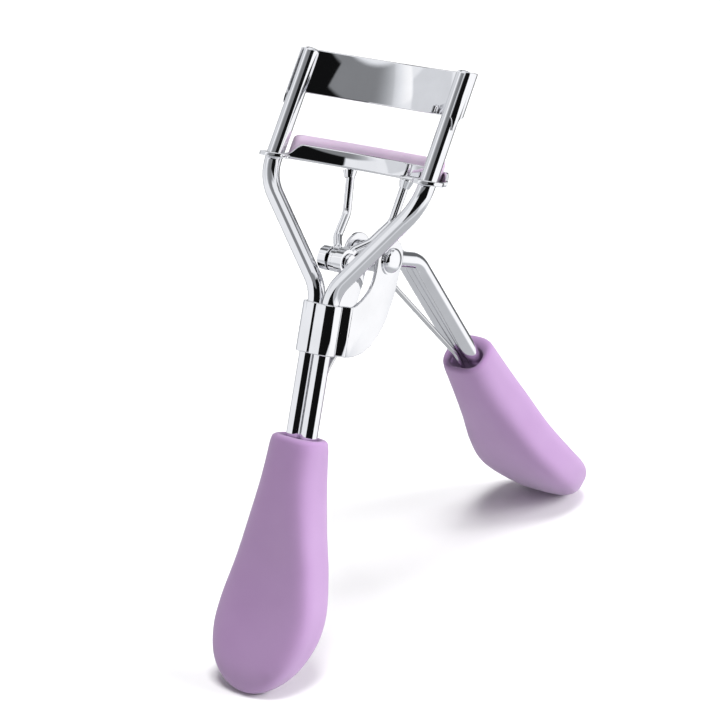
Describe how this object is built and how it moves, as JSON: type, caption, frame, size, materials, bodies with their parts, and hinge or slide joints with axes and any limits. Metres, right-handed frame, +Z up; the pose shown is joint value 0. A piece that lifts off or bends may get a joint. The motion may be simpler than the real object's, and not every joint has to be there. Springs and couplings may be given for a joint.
{
  "type": "eyelash curler",
  "caption": "Hand-held eyelash curler: a squeeze of two soft grips slides a curved lower jaw with a soft pad up two rails to the fixed upper jaw.",
  "frame": {"origin": "on the surface it stands on, under the middle of the whole curler", "axes": "+X to the curler's right across the jaws, +Y from the front grip to the rear grip, +Z up"},
  "size_m": [0.038, 0.1014, 0.1004],
  "materials": {
    "chrome": "polished",
    "arm_chrome": "polished",
    "spring_wire": "bright",
    "grip": "matte soft touch",
    "pad": "satin"
  },
  "bodies": {
    "frame": {"left_frame_rod": "chrome", "right_frame_rod": "chrome", "upper_jaw": "chrome", "hinge_bracket": "chrome", "frame_grip": "grip", "pivot_pin": "chrome", "left_pivot_washer": "chrome", "right_pivot_washer": "chrome", "return_spring": "spring_wire"},
    "lever": {"left_lever_rod": "chrome", "right_lever_rod": "chrome", "lever_grip": "grip", "link_pin": "chrome"},
    "jaw": {"lower_jaw": "chrome", "curling_pad": "pad", "left_push_arm": "arm_chrome", "right_push_arm": "arm_chrome", "left_arm_collar": "arm_chrome", "right_arm_collar": "arm_chrome"}
  },
  "joints": [
    {"name": "lever_pivot", "type": "hinge", "parent": "frame", "child": "lever", "pos_m": [0, -0.0081, 0.06627], "axis": [-1, 0, 0], "range_deg": [0, 43], "stiffness_Nm_per_rad": 0.06, "springref_deg": -20.05, "deforming": ["return_spring"]},
    {"name": "jaw_slide", "type": "slide", "parent": "frame", "child": "jaw", "axis": [0, 0.592, 0.8059], "range_m": [0, 0.0075]}
  ],
  "couplings": [
    {"joint": "jaw_slide", "follows": "lever_pivot", "m_per_rad": 0.0099668}
  ]
}
